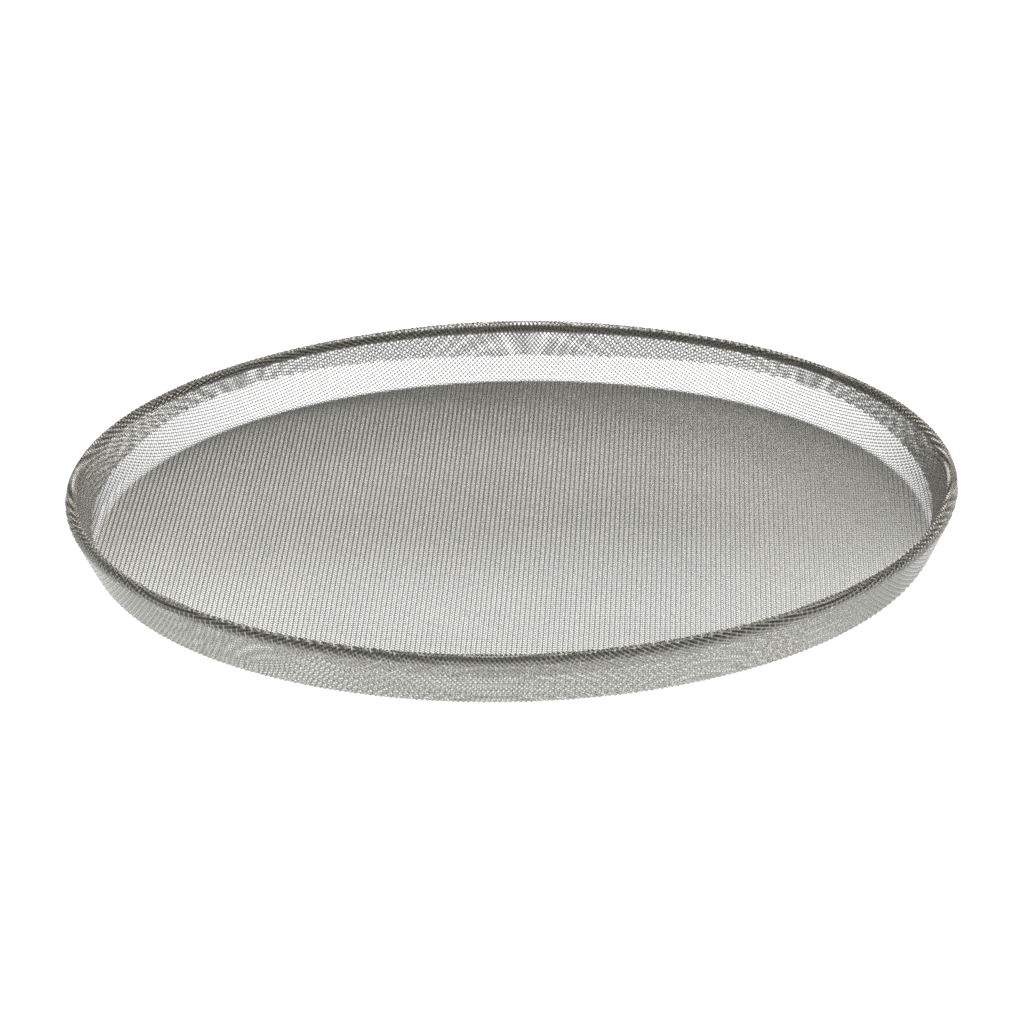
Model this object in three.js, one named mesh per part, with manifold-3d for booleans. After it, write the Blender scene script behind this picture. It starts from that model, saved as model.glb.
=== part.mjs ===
// Pastry sieve insert: a shallow round dish of woven steel wire cloth.
// The cloth is pressed from one round blank. Its wall passes outside a solid ring wire, rolls
// inwards over it and is turned down inside the wall as a hem.
// The origin is the centre of the underside, +Z points up out of the dish, and the wires of
// the floor run along X and Y.
import * as THREE from "three";
import { mergeVertices } from "three/addons/utils/BufferGeometryUtils.js";
import Module from "manifold-3d";

// Driving dimensions, in millimetres
const rimDiameter = 300; // over the wrapped rim
const dishHeight = 20; // underside of the floor to the top of the rim
const wallRun = 10.5; // how far the rim stands out past the flat floor
const cornerRadius = 3.5; // outside of the bend between floor and wall
const wireDiameter = 0.36; // one wire of the cloth
const meshPitch = 1.15; // spacing of the wires in the cloth
const ringWireDiameter = 3; // solid wire inside the rolled rim
const ringClearance = 0.15; // between the ring wire and the cloth round it
const hemDepth = 9.4; // mean depth of the hem's edge below the top of the rim
const hemLobe = 1.9; // how much lower the hem's edge hangs where the cloth stretches on the bias
const seamGap = 0.2; // between neighbouring stretches of the one cloth
const edgeBandWidth = 2; // band round the floor net, where the cloth turns into the corner
const wallBandWidth = 1.2; // band above and below each row of openings in the wall and the hem

// Counts
const floorBars = 17; // bars across the floor each way, each standing for a group of wires
const wallBays = 24; // openings round the wall and the hem, each standing for a patch of mesh
const wallRows = 2; // openings up the wall
const hemLobes = 4; // a plain weave stretches most along its four diagonals
const roundSegments = 72; // facets round the dish
const bendSegments = 6; // facets round a bend of the cloth
const ringSides = 10; // facets round the ring wire
const slotEndSegments = 3; // facets along each end of a gap in the floor net

// The cloth is two wires thick where they cross.
const clothThickness = 2 * wireDiameter;
const steelShare = (Math.PI * wireDiameter) / (4 * meshPitch); // of each set of wires in the cloth
const wrapInside = ringWireDiameter / 2 + ringClearance;
const wrapOutside = wrapInside + clothThickness;
const floorRadius = rimDiameter / 2 - wallRun;
const cornerCentre = new THREE.Vector2(floorRadius, cornerRadius);
const ringCentre = new THREE.Vector2(rimDiameter / 2 - wrapOutside, dishHeight - wrapOutside);

// Directions in the section plane (radius, height) of a wall that leans out by an angle
const alongWall = (lean) => new THREE.Vector2(Math.sin(lean), Math.cos(lean));
const outOfWall = (lean) => new THREE.Vector2(Math.cos(lean), -Math.sin(lean));

// The wall's outer side runs straight from the corner bend to the outside of the roll.
const cornerToRing = ringCentre.clone().sub(cornerCentre);
const cornerToRingLean = Math.atan2(cornerToRing.x, cornerToRing.y);
const wallLean =
  cornerToRingLean - Math.asin((cornerRadius - wrapOutside) / cornerToRing.length());
const wallFoot = cornerCentre.clone().addScaledVector(outOfWall(wallLean), cornerRadius);
const wallTop = ringCentre.clone().addScaledVector(outOfWall(wallLean), wrapOutside);
const wallTopInside = ringCentre.clone().addScaledVector(outOfWall(wallLean), wrapInside);

// The hem runs down from the inner side of the ring wire to its edge, along the wall.
const hemTop = ringCentre.clone().addScaledVector(outOfWall(wallLean), -wrapInside);
const hemLength = (hemTop.y - (dishHeight - hemDepth)) / Math.cos(wallLean);
const hemEdge = hemTop.clone().addScaledVector(alongWall(wallLean), -hemLength);

// Points along an arc, ends included, anticlockwise when the end angle is the larger
function arcPoints(centre, radius, startAngle, endAngle, segments) {
  return Array.from({ length: segments + 1 }, (_, i) => {
    const angle = startAngle + ((endAngle - startAngle) * i) / segments;
    return new THREE.Vector2(radius * Math.cos(angle), radius * Math.sin(angle)).add(centre);
  });
}

// A closed outline in the section plane, listed anticlockwise, turned round the dish's axis
function turnRound(outline) {
  const turned = new THREE.LatheGeometry([...outline, outline[0].clone()], roundSegments);
  return turned.rotateX(Math.PI / 2);
}

const wasm = await Module();
wasm.setup();

// A closed mesh as a solid that can be cut
function toSolid(geometry) {
  geometry.deleteAttribute("normal");
  geometry.deleteAttribute("uv");
  const merged = mergeVertices(geometry);
  const vertProperties = new Float32Array(merged.getAttribute("position").array);
  const triVerts = new Uint32Array(merged.index.array);
  return new wasm.Manifold(new wasm.Mesh({ numProp: 3, vertProperties, triVerts }));
}

function toGeometry(solid) {
  const { vertProperties, triVerts } = solid.getMesh();
  const geometry = new THREE.BufferGeometry();
  geometry.setAttribute("position", new THREE.BufferAttribute(vertProperties, 3));
  return geometry.setIndex(new THREE.BufferAttribute(triVerts, 1));
}

// One row of openings round a stretch of cloth that leans as the wall does, from one place of its
// section to another
function cutRow(solid, below, above) {
  const bayAngle = (2 * Math.PI) / wallBays;
  const middle = below.clone().lerp(above, 0.5);
  const width = bayAngle * middle.x * (1 - steelShare);
  const bow = middle.x * (1 - Math.cos(bayAngle / 2)); // of the round cloth across one bay
  const depth = 2 * (clothThickness + bow);
  let cut = solid;
  for (let bay = 0; bay < wallBays; bay += 1) {
    const opening = new THREE.BoxGeometry(depth, width, below.distanceTo(above));
    opening.rotateY(wallLean).translate(middle.x, 0, middle.y).rotateZ((bay + 0.5) * bayAngle);
    cut = cut.subtract(toSolid(opening));
  }
  return cut;
}

// One layer of the floor net: bars along X across a round band
function netLayer() {
  const centre = new THREE.Vector2();
  const bandOutside = floorRadius - seamGap;
  const bandInside = floorRadius - edgeBandWidth;
  const barPitch = (2 * bandInside) / (floorBars + 1);
  const barWidth = barPitch * steelShare; // as much steel as the wires that it stands for
  const rim = arcPoints(centre, bandOutside, 0, 2 * Math.PI, roundSegments).slice(0, -1);
  const layer = new THREE.Shape(rim);
  for (let gap = 0; gap <= floorBars; gap += 1) {
    const below = -bandInside + gap * barPitch + (gap > 0 ? barWidth / 2 : 0);
    const above = -bandInside + (gap + 1) * barPitch - (gap < floorBars ? barWidth / 2 : 0);
    const low = Math.asin(Math.max(below / bandInside, -1));
    const high = Math.asin(Math.min(above / bandInside, 1));
    const right = arcPoints(centre, bandInside, low, high, slotEndSegments);
    const left = arcPoints(centre, bandInside, Math.PI - high, Math.PI - low, slotEndSegments);
    if (gap === 0) left.pop();
    if (gap === floorBars) left.shift();
    layer.holes.push(new THREE.Path([...right, ...left]));
  }
  return new THREE.ExtrudeGeometry(layer, { depth: wireDiameter, bevelEnabled: false });
}

// The corner bend and the wall, up to the ring wire, with rows of openings
function wallCloth() {
  const top = wallTop.clone().addScaledVector(alongWall(wallLean), -seamGap);
  const topInside = wallTopInside.clone().addScaledVector(alongWall(wallLean), -seamGap);
  const insideRadius = cornerRadius - clothThickness;
  const shell = turnRound([
    ...arcPoints(cornerCentre, cornerRadius, -Math.PI / 2, -wallLean, bendSegments),
    top,
    topInside,
    ...arcPoints(cornerCentre, insideRadius, -wallLean, -Math.PI / 2, bendSegments),
  ]);
  const rowPitch = (wallFoot.distanceTo(wallTop) - wallBandWidth) / wallRows;
  let wall = toSolid(shell);
  for (let row = 0; row < wallRows; row += 1) {
    const up = wallBandWidth + row * rowPitch;
    const below = wallFoot.clone().addScaledVector(alongWall(wallLean), up);
    const above = below.clone().addScaledVector(alongWall(wallLean), rowPitch - wallBandWidth);
    wall = cutRow(wall, below, above);
  }
  return toGeometry(wall);
}

// The cloth rolled over the ring wire, from the wall to the hem
function rimWrap() {
  return turnRound([
    ...arcPoints(ringCentre, wrapOutside, -wallLean, Math.PI - wallLean, bendSegments + 2),
    ...arcPoints(ringCentre, wrapInside, Math.PI - wallLean, -wallLean, bendSegments + 2),
  ]);
}

// The turned-down edge inside the wall, lower on the diagonals of the weave, with a row of openings
function hemPly() {
  const top = hemTop.clone().addScaledVector(alongWall(wallLean), -seamGap);
  const topInside = top.clone().addScaledVector(outOfWall(wallLean), -clothThickness);
  const edgeInside = hemEdge.clone().addScaledVector(outOfWall(wallLean), -clothThickness);
  const hem = turnRound([hemEdge, top, topInside, edgeInside]);
  const place = hem.getAttribute("position");
  const down = alongWall(wallLean).negate();
  for (let i = 0; i < place.count; i += 1) {
    if (place.getZ(i) > (hemEdge.y + hemTop.y) / 2) continue;
    const around = Math.atan2(place.getY(i), place.getX(i));
    const drop = -hemLobe * Math.cos(hemLobes * around);
    place.setX(i, place.getX(i) + drop * down.x * Math.cos(around));
    place.setY(i, place.getY(i) + drop * down.x * Math.sin(around));
    place.setZ(i, place.getZ(i) + drop * down.y);
  }
  const below = hemEdge.clone().addScaledVector(alongWall(wallLean), hemLobe + wallBandWidth);
  const above = hemTop.clone().addScaledVector(alongWall(wallLean), -seamGap - wallBandWidth);
  return toGeometry(cutRow(toSolid(hem), below, above));
}

const steel = (color, roughness) =>
  new THREE.MeshStandardMaterial({ color, roughness, metalness: 1 });

const sieve = new THREE.Group();

function addPiece(name, geometry, material) {
  const piece = new THREE.Mesh(geometry, material);
  piece.name = name;
  sieve.add(piece);
  return piece;
}

addPiece("floor_warp_wires", netLayer(), steel(0xb4b3ad, 0.4));
const weft = addPiece("floor_weft_wires", netLayer(), steel(0xbcbbb5, 0.4));
weft.rotation.z = Math.PI / 2;
weft.position.z = wireDiameter;
addPiece("wall_cloth", wallCloth(), steel(0xc2c2bd, 0.4));
addPiece("rim_wrap_cloth", rimWrap(), steel(0x8f8d82, 0.4));
addPiece("hem_cloth", hemPly(), steel(0xa19f94, 0.4));
const ring = new THREE.TorusGeometry(ringCentre.x, ringWireDiameter / 2, ringSides, roundSegments);
addPiece("rim_ring_wire", ring, steel(0x77756a, 0.3)).position.z = ringCentre.y;

export default sieve;
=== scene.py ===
# Round sieve dish of woven wire cloth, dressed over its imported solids.
# The cloth is made as it is in real life: woven flat, cut to a round blank, pressed into a dish.
import math

import bpy
import numpy as np
from mathutils import Euler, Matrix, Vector


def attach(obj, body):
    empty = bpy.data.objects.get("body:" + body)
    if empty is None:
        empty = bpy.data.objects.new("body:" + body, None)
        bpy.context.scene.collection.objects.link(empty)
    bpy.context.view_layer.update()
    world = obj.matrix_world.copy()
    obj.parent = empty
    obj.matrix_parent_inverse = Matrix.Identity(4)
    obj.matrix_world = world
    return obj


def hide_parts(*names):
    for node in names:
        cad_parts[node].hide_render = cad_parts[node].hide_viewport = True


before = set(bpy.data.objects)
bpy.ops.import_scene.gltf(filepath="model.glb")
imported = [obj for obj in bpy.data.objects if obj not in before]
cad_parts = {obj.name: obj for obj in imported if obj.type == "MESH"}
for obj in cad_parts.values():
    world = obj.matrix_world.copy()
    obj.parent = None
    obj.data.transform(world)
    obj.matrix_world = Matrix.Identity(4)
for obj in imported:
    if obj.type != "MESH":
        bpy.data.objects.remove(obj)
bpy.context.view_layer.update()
mm = 0.001
rng = np.random.default_rng(7)
print("frame loaded:", sorted(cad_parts))


# Camera, at the photo's viewing angle
camera = {
    "azimuth": 47.75,  # degrees, looking almost along a diagonal of the weave
    "elevation": 22.45,
    "roll": -1.3,
    "distance": 1.62,
    "aimHeight": 6.3 * mm,
    "focalPixels": 4800,
    "imagePixels": 1024,
    "sensor": 36,  # the lens and the sensor are set in millimetres
    "clip": (0.05, 30),
}


# unit vector to a place so many degrees round from the front (-Y) and above the floor
def direction(azimuth, elevation):
    around, above = math.radians(azimuth), math.radians(elevation)
    level = math.cos(above)
    return Vector((math.sin(around) * level, -math.cos(around) * level, math.sin(above)))


def addCamera():
    back = direction(camera["azimuth"], camera["elevation"])
    aim = Vector((0, 0, camera["aimHeight"]))
    roll = Euler((0, 0, math.radians(camera["roll"]))).to_quaternion()
    bpy.ops.object.select_all(action="DESELECT")
    bpy.ops.object.camera_add(location=aim + back * camera["distance"])
    cam = bpy.context.object
    cam.rotation_euler = ((-back).to_track_quat("-Z", "Y") @ roll).to_euler()
    cam.data.sensor_width = camera["sensor"]
    cam.data.lens = camera["sensor"] * camera["focalPixels"] / camera["imagePixels"]
    cam.data.clip_start, cam.data.clip_end = camera["clip"]
    bpy.context.scene.camera = cam


addCamera()
print("camera placed")


# Shader maths as plain expressions
class Value:
    def __init__(self, socket):
        self.socket = socket

    def maths(self, operation, first, second):
        node = self.socket.id_data.nodes.new("ShaderNodeMath")
        node.operation = operation
        plug(node.inputs[0], first)
        plug(node.inputs[1], second)
        return Value(node.outputs[0])

    def __add__(self, other):
        return self.maths("ADD", self, other)

    def __sub__(self, other):
        return self.maths("SUBTRACT", self, other)

    def __rsub__(self, other):
        return self.maths("SUBTRACT", other, self)

    def __mul__(self, other):
        return self.maths("MULTIPLY", self, other)

    __radd__, __rmul__ = __add__, __mul__


def plug(socket, source):
    if isinstance(source, Value):
        socket.id_data.links.new(source.socket, socket)
    else:
        socket.default_value = source


class Finish:
    def __init__(self, name, **plain):
        self.material = bpy.data.materials.new(name)
        self.material.use_nodes = True
        self.tree = self.material.node_tree
        self.shader = self.tree.nodes["Principled BSDF"]
        self.set(**plain)

    def set(self, **sockets):
        for name, source in sockets.items():
            plug(self.shader.inputs[name.replace("_", " ")], source)

    # any node: its settings first, then what goes into its sockets, by name or number
    def node(self, kind, output, settings=None, sockets=None):
        made = self.tree.nodes.new("ShaderNode" + kind)
        for name, value in (settings or {}).items():
            setattr(made, name, value)
        for name, source in (sockets or {}).items():
            plug(made.inputs[name], source)
        return Value(made.outputs[output])

    def place(self):
        return self.node("TexCoord", "Object")

    def noise(self, where, scale, detail=2):
        sockets = {"Vector": where, "Scale": scale, "Detail": detail}
        return self.node("TexNoise", "Fac", None, sockets)

    def blend(self, share, first, second):
        colours = {"data_type": "RGBA"}
        return self.node("Mix", 2, colours, {"Factor": share, "A": first, "B": second})

    # a smooth step from one share to another as a value rises
    def ramp(self, value, low, high, lowShare, highShare):
        smooth = {"interpolation_type": "SMOOTHSTEP"}
        return self.node("MapRange", "Result", smooth, {
            "Value": value, "From Min": low, "From Max": high,
            "To Min": lowShare, "To Max": highShare})


# drawn steel: blotches between two tones, and a fine grain in its shine
def steelFinish(name, look):
    steel = Finish(name, Metallic=1.0)
    place = steel.place()
    blotches = steel.noise(place, look["blotchScale"], look["blotchDetail"])
    grain = steel.noise(place, look["grainScale"])
    steel.set(Base_Color=steel.blend(blotches, *look["tones"]))
    steel.set(Roughness=look["smoothest"] + look["grainDepth"] * grain)
    return steel.material


# The cloth: wires, weave and the dish that it is pressed into
cloth = {
    "wire": 0.36 * mm,
    "pitch": 1.15 * mm,
    "sides": 6,
    "wiresEachWay": 304,
    "bands": 8,  # pieces that each set of wires is split into
    "unevenness": 0.02 * mm,  # how far a wire strays from its place
    "blankRadius": 173.2 * mm,
    "stretch": 1.03,  # of the wall along its height, from the pressing
    "biasStretch": 0.057,  # more on the diagonals of the weave, less along the wires
    "diagonals": 4,
    "map": "OFBake",
}

dish = {
    "rimRadius": 150 * mm,
    "height": 20 * mm,
    "wallRun": 10.5 * mm,
    "cornerRadius": 3.5 * mm,
    "ringWire": 3.0 * mm,
    "ringClearance": 0.15 * mm,
    "looseRoll": 0.9 * mm,  # on one side the roll stands up from the ring wire
    "looseAt": math.radians(138),
    "looseSpread": math.radians(19),
    "looseReach": 4 * mm,  # how far the give spreads, half of it below the ring wire's middle
    "looseEasing": 1.5,
}

thickness = 2 * cloth["wire"]
wrapInside = dish["ringWire"] / 2 + dish["ringClearance"]
wrapMiddle = wrapInside + cloth["wire"]
floorRadius = dish["rimRadius"] - dish["wallRun"]
cornerCentre = np.array([floorRadius, dish["cornerRadius"]])
ringCentre = np.array([dish["rimRadius"], dish["height"]]) - wrapInside - thickness
run, rise = ringCentre - cornerCentre
narrowing = dish["cornerRadius"] - wrapInside - thickness
wallLean = math.atan2(run, rise) - math.asin(narrowing / math.hypot(run, rise))
wallUp = np.array([math.sin(wallLean), math.cos(wallLean)])
print("wall leans out", round(math.degrees(wallLean), 1), "degrees")


# a point of the flat cloth, with its height above the middle of the cloth, on the pressed dish
def pressed(flat):
    radius = np.hypot(flat[:, 0], flat[:, 1])
    around = np.arctan2(flat[:, 1], flat[:, 0])
    stretch = cloth["stretch"] - cloth["biasStretch"] * np.cos(cloth["diagonals"] * around)
    along = np.maximum(radius - floorRadius, 0) * stretch

    # how far the point is round the corner, up the wall, round the roll and down the hem
    cornerMiddle = dish["cornerRadius"] - cloth["wire"]
    cornerLength = cornerMiddle * (math.pi / 2 - wallLean)
    wallEnd = cornerLength + math.sqrt(run ** 2 + rise ** 2 - narrowing ** 2)
    rollEnd = wallEnd + wrapMiddle * math.pi
    onCorner = np.minimum(along, cornerLength)
    onWall = np.clip(along, cornerLength, wallEnd) - cornerLength
    onRoll = np.clip(along, wallEnd, rollEnd) - wallEnd
    onHem = np.maximum(along, rollEnd) - rollEnd

    # the underside of the cloth faces out of both bends, and the hem comes down along the wall
    angle = onCorner / cornerMiddle - math.pi / 2 + onRoll / wrapMiddle
    facing = np.stack([np.cos(angle), np.sin(angle)])
    lower = cornerCentre[:, None] + cornerMiddle * facing + wallUp[:, None] * onWall
    upper = ringCentre[:, None] + wrapMiddle * facing - wallUp[:, None] * onHem
    section = np.where(onRoll > 0, upper, lower) - facing * flat[:, 2]
    outwards = np.where(along > 0, section[0], radius)
    height = np.where(along > 0, section[1], flat[:, 2] + cloth["wire"])

    # where the roll is loose it is lifted, and the wall with it, dying away on both sides
    away = np.angle(np.exp(1j * (around - dish["looseAt"]))) / dish["looseSpread"]
    give = np.clip((height - ringCentre[1]) / dish["looseReach"] + 0.5, 0, 1)
    height += dish["looseRoll"] * np.exp(-away ** 2) * give ** dish["looseEasing"]
    return np.stack([outwards * np.cos(around), outwards * np.sin(around), height], 1)


def meshPoints(mesh):
    found = np.empty(len(mesh.vertices) * 3)
    mesh.vertices.foreach_get("co", found)
    return found.reshape(-1, 3)


def repeat(piece, step, count, weld):
    array = piece.modifiers.new("repeat", "ARRAY")
    array.count = count
    array.use_relative_offset = False
    array.use_constant_offset = True
    array.constant_offset_displace = step
    array.use_merge_vertices = weld
    array.merge_threshold = cloth["wire"] / 50
    bpy.ops.object.modifier_apply(modifier=array.name)


# one band of parallel wires of the flat cloth, along X, over at every other crossing
def weaveBand(name, firstWire, wires, over):
    pitch, crimp = cloth["pitch"], over * cloth["wire"] / 2
    half = cloth["wiresEachWay"] / 2 - 0.5
    start = (-half * pitch, (firstWire - half) * pitch, crimp)
    bpy.ops.object.select_all(action="DESELECT")
    bpy.ops.mesh.primitive_circle_add(
        vertices=cloth["sides"], radius=cloth["wire"] / 2,
        location=start, rotation=(0, math.pi / 2, 0))
    piece = bpy.context.object
    piece.name = piece.data.name = name
    bpy.ops.object.transform_apply()
    bpy.ops.object.mode_set(mode="EDIT")
    bpy.ops.mesh.select_all(action="SELECT")
    for fall in (-2 * crimp, 2 * crimp):
        bpy.ops.mesh.extrude_region_move(TRANSFORM_OT_translate={"value": (pitch, 0, fall)})
    bpy.ops.mesh.select_all(action="SELECT")
    bpy.ops.mesh.duplicate_move(TRANSFORM_OT_translate={"value": (pitch, pitch, 0)})
    bpy.ops.object.mode_set(mode="OBJECT")
    repeat(piece, (2 * pitch, 0, 0), cloth["wiresEachWay"] // 2, True)
    repeat(piece, (0, 2 * pitch, 0), wires // 2, False)
    return piece


# the blank is cut round, and each cut end is closed
def cutBlank(piece):
    mesh = piece.data
    flat = meshPoints(mesh)
    outside = np.hypot(flat[:, 0], flat[:, 1]) > cloth["blankRadius"]
    bpy.ops.object.mode_set(mode="EDIT")
    bpy.ops.mesh.select_all(action="DESELECT")
    bpy.ops.object.mode_set(mode="OBJECT")
    mesh.vertices.foreach_set("select", outside)
    bpy.ops.object.mode_set(mode="EDIT")
    bpy.ops.mesh.delete(type="VERT")
    bpy.ops.mesh.select_all(action="SELECT")
    bpy.ops.mesh.fill_holes(sides=cloth["sides"])
    bpy.ops.mesh.select_all(action="SELECT")
    bpy.ops.mesh.normals_make_consistent(inside=False)
    bpy.ops.object.mode_set(mode="OBJECT")


# each piece's own map is its place on the flat cloth
def mapFlat(piece, flat):
    mesh = piece.data
    corner = np.empty(len(mesh.loops), np.int32)
    mesh.loops.foreach_get("vertex_index", corner)
    low, high = flat[:, :2].min(0), flat[:, :2].max(0)
    places = (flat[corner, :2] - low) / (high - low)
    mesh.uv_layers.new(name=cloth["map"]).data.foreach_set("uv", places.ravel())


# the bends at the crossings are kept sharp, so that each stretch of wire shows its own slope
def sharpenBends(piece, flat):
    mesh = piece.data
    ends = np.empty(len(mesh.edges) * 2, np.int32)
    mesh.edges.foreach_get("vertices", ends)
    first, second = flat[ends, 0].reshape(-1, 2).T
    mesh.edges.foreach_set("use_edge_sharp", np.abs(second - first) < cloth["pitch"] / 2)


def makeWires(family, over, turned, finish):
    perBand = cloth["wiresEachWay"] // cloth["bands"]
    made = []
    for band in range(cloth["bands"]):
        piece = weaveBand(f"{family}_{band + 1}", band * perBand, perBand, over)
        cutBlank(piece)
        flat = meshPoints(piece.data)
        mapFlat(piece, flat)
        sharpenBends(piece, flat)
        wire = np.rint(flat[:, 1] / cloth["pitch"] + cloth["wiresEachWay"] / 2 - 0.5).astype(int)
        flat[:, 1] += rng.normal(0, cloth["unevenness"], cloth["wiresEachWay"])[wire]
        if turned:
            flat = np.stack([-flat[:, 1], flat[:, 0], flat[:, 2]], 1)
        piece.data.vertices.foreach_set("co", pressed(flat).ravel())
        piece.data.update()
        bpy.ops.object.shade_smooth()
        piece.data.materials.append(finish)
        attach(piece, "root")
        made.append(piece)
    faces = sum(len(p.data.polygons) for p in made)
    print(family, "woven:", len(made), "bands,", faces, "faces")
    return made


# the warp's tones are painted shade: darker than the weft's, though both are the same steel
warpPaintedShadeSteel = {
    "tones": ((0.42, 0.412, 0.385, 1), (0.345, 0.338, 0.316, 1)),
    "blotchScale": 24,
    "blotchDetail": 3,
    "grainScale": 400,
    "smoothest": 0.1,
    "grainDepth": 0.08,
}

# the weft is painted brighter than the warp of the same steel, painted light and shade, so that
# the columns of its knuckles stand out
weftPaintedLightSteel = {**warpPaintedShadeSteel, "tones": ((0.61, 0.599, 0.559, 1), (0.5, 0.491, 0.458, 1))}

warp = makeWires("warpWires", 1, False, steelFinish("warpPaintedShadeSteel", warpPaintedShadeSteel))
weft = makeWires("weftWires", -1, True, steelFinish("weftPaintedLightSteel", weftPaintedLightSteel))
for piece in warp:
    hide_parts("floor_warp_wires", "wall_cloth", "rim_wrap_cloth", "hem_cloth")
for piece in weft:
    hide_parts("floor_weft_wires", "wall_cloth", "rim_wrap_cloth", "hem_cloth")


# The ring wire inside the rolled rim, with the swelling of its butt weld
ring = {
    "roundSteps": 288,
    "sides": 12,
    "weldAt": math.radians(200),
    "weldLength": 2.0 * mm,
    "weldSwell": 0.12 * mm,
}

# the ring wire's tones are painted shade: darker than the cloth's steel, for the shade inside the
# rolled rim
ringPaintedShadeSteel = {
    "tones": ((0.26, 0.25, 0.21, 1), (0.38, 0.37, 0.32, 1)),
    "blotchScale": 60,
    "blotchDetail": 4,
    "grainScale": 500,
    "smoothest": 0.4,
    "grainDepth": 0.2,
}


def makeRing():
    bpy.ops.object.select_all(action="DESELECT")
    bpy.ops.mesh.primitive_torus_add(
        major_radius=ringCentre[0], minor_radius=dish["ringWire"] / 2,
        major_segments=ring["roundSteps"], minor_segments=ring["sides"],
        location=(0, 0, ringCentre[1]))
    piece = bpy.context.object
    piece.name = piece.data.name = "ringWire"
    bpy.ops.object.transform_apply()
    points = meshPoints(piece.data)
    around = np.arctan2(points[:, 1], points[:, 0])
    away = np.angle(np.exp(1j * (around - ring["weldAt"]))) * ringCentre[0] / ring["weldLength"]
    outwards, height = ringCentre
    middle = np.stack([
        outwards * np.cos(around), outwards * np.sin(around), np.full_like(around, height)], 1)
    swell = 1 + ring["weldSwell"] / (dish["ringWire"] / 2) * np.exp(-away ** 2)
    piece.data.vertices.foreach_set("co", (middle + (points - middle) * swell[:, None]).ravel())
    piece.data.update()
    bpy.ops.object.shade_smooth()
    piece.data.materials.append(steelFinish("ringPaintedShadeSteel", ringPaintedShadeSteel))
    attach(piece, "root")
    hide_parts("rim_ring_wire")
    print("ring wire made")


makeRing()


# White studio: a pale floor that glows like a light table, with a painted shadow under the dish
# and painted shade falling to the front, and soft boxes round it
studio = {
    "floorSize": 40,
    "paper": ((0.93, 0.93, 0.93, 1), (0.95, 0.95, 0.95, 1)),
    "paperScale": 3,
    "paperRoughness": 0.9,
    "glow": 1.25,
    "glowTint": (0.97, 1.0, 1.03, 1),
    "backShare": 1.0,  # of the glow behind the dish, falling to the front as painted shade
    "frontShare": 0.68,
    "paintedShadowRadius": 140 * mm,  # under the dish a shadow of the cloth is painted into the glow, darkest at the far part
    "farPaintedShadowShare": 0.2,
    "middlePaintedLightShare": 0.5,
    "nearPaintedLightShare": 0.5,  # painted light towards the front, on top of the middle's
    # where the painted shares change, in painted shadow radii from the middle's own centre or
    # towards the camera
    "middleAhead": 0.5,
    "middleFade": (0.9, 1.3),
    "nearRise": (-0.1, 0.5),
    "frontFade": (-1.5, 1.2),
    "lampTint": (1.0, 0.98, 0.91),
    "sky": (0.18, 0.18, 0.18, 1),
    "softness": 2.0,  # pixels that the picture is blended over
    # turned round from the camera, above the floor in degrees, then metres and watts
    "lamps": {
        "backRight": {"turn": 155, "above": 30, "away": 2.0, "size": 1.3, "power": 10.5},
        "back": {"turn": 172, "above": 38, "away": 2.0, "size": 1.3, "power": 15.5},
        "front": {"turn": 0, "above": 65, "away": 2.0, "size": 1.5, "power": 4.0},
    },
}


def fromCamera(turn, above):
    return direction(camera["azimuth"] + turn, above)


def makeFloor():
    bpy.ops.object.select_all(action="DESELECT")
    bpy.ops.mesh.primitive_plane_add(size=studio["floorSize"])
    floor = bpy.context.object
    floor.name = "studioFloor"
    paper = Finish("studioPaper", Roughness=studio["paperRoughness"])
    place = paper.place()
    tone = paper.blend(paper.noise(place, studio["paperScale"]), *studio["paper"])

    # how far a point lies to the front, from the axis, and from the middle of the painted pool of
    # light
    radius = studio["paintedShadowRadius"]
    near = fromCamera(0, 0)
    dot, length, distance = ({"operation": name} for name in ("DOT_PRODUCT", "LENGTH", "DISTANCE"))
    front = paper.node("VectorMath", "Value", dot, {0: place, 1: near / radius})
    reach = paper.node("VectorMath", "Value", length, {0: place})
    ahead = near * radius * studio["middleAhead"]
    apart = paper.node("VectorMath", "Value", distance, {0: place, 1: ahead})

    # under the dish the glow is painted shade and light: dim at the far part, brighter in the
    # middle and more so to the front
    fadeStart, fadeEnd = studio["middleFade"]
    middle = paper.ramp(
        apart, fadeStart * radius, fadeEnd * radius, studio["middlePaintedLightShare"], studio["farPaintedShadowShare"])
    under = middle + paper.ramp(front, *studio["nearRise"], 0, studio["nearPaintedLightShare"])
    # outside the painted shadow the glow falls to the front as painted shade
    around = paper.ramp(front, *studio["frontFade"], studio["backShare"], studio["frontShare"])
    outside = paper.node("Math", 0, {"operation": "GREATER_THAN"}, {0: reach, 1: radius})
    share = outside * around + (1 - outside) * under
    paper.set(Base_Color=tone, Emission_Strength=studio["glow"])
    paper.set(Emission_Color=paper.blend(share, (0, 0, 0, 1), studio["glowTint"]))
    floor.data.materials.append(paper.material)


def makeLights():
    for name, lamp in studio["lamps"].items():
        towards = fromCamera(lamp["turn"], lamp["above"])
        bpy.ops.object.light_add(type="AREA", location=towards * lamp["away"])
        light = bpy.context.object
        light.name = name
        light.data.shape = "DISK"
        light.data.size = lamp["size"]
        light.data.energy = lamp["power"]
        light.data.color = studio["lampTint"]
        light.rotation_euler = (-towards).to_track_quat("-Z", "Y").to_euler()
        light.visible_camera = False
    world = bpy.data.worlds.new("studioSky")
    world.use_nodes = True
    sky = world.node_tree.nodes["Background"]
    sky.inputs["Color"].default_value = studio["sky"]
    scene = bpy.context.scene
    scene.world = world
    scene.view_settings.view_transform = "Standard"
    scene.cycles.denoising_prefilter = "NONE"  # keeps the fine weave
    scene.cycles.filter_width = studio["softness"]


makeFloor()
makeLights()
print("studio lit")
